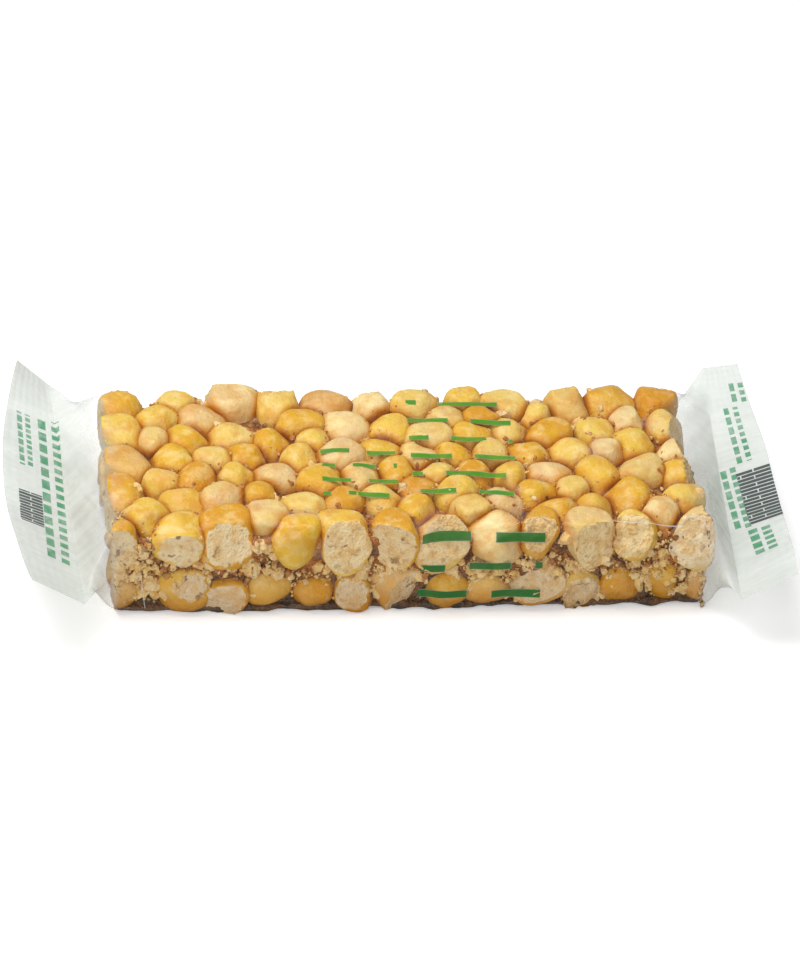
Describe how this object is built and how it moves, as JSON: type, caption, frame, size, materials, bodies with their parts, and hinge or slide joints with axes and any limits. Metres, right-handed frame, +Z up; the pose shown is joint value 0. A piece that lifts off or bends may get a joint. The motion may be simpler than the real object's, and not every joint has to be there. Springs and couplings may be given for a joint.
{
  "type": "chickpea brittle bar",
  "caption": "Slab of whole roasted chickpeas set in syrup, sealed in a clear flow wrap that ends in a flat crimped fin on each side.",
  "frame": {"origin": "on the resting plane, below the middle of the slab", "axes": "+X along the bar, +Y from the front to the back, +Z up"},
  "size_m": [0.1405, 0.0644, 0.0185],
  "materials": {
    "brittle": "golden roasted chickpeas in amber syrup, under film",
    "wrapper": "clear film, milky where two layers are crimped"
  },
  "bodies": {
    "root": {"brittle": "brittle", "wrapper_end_left": "wrapper", "wrapper_end_right": "wrapper"}
  },
  "joints": []
}
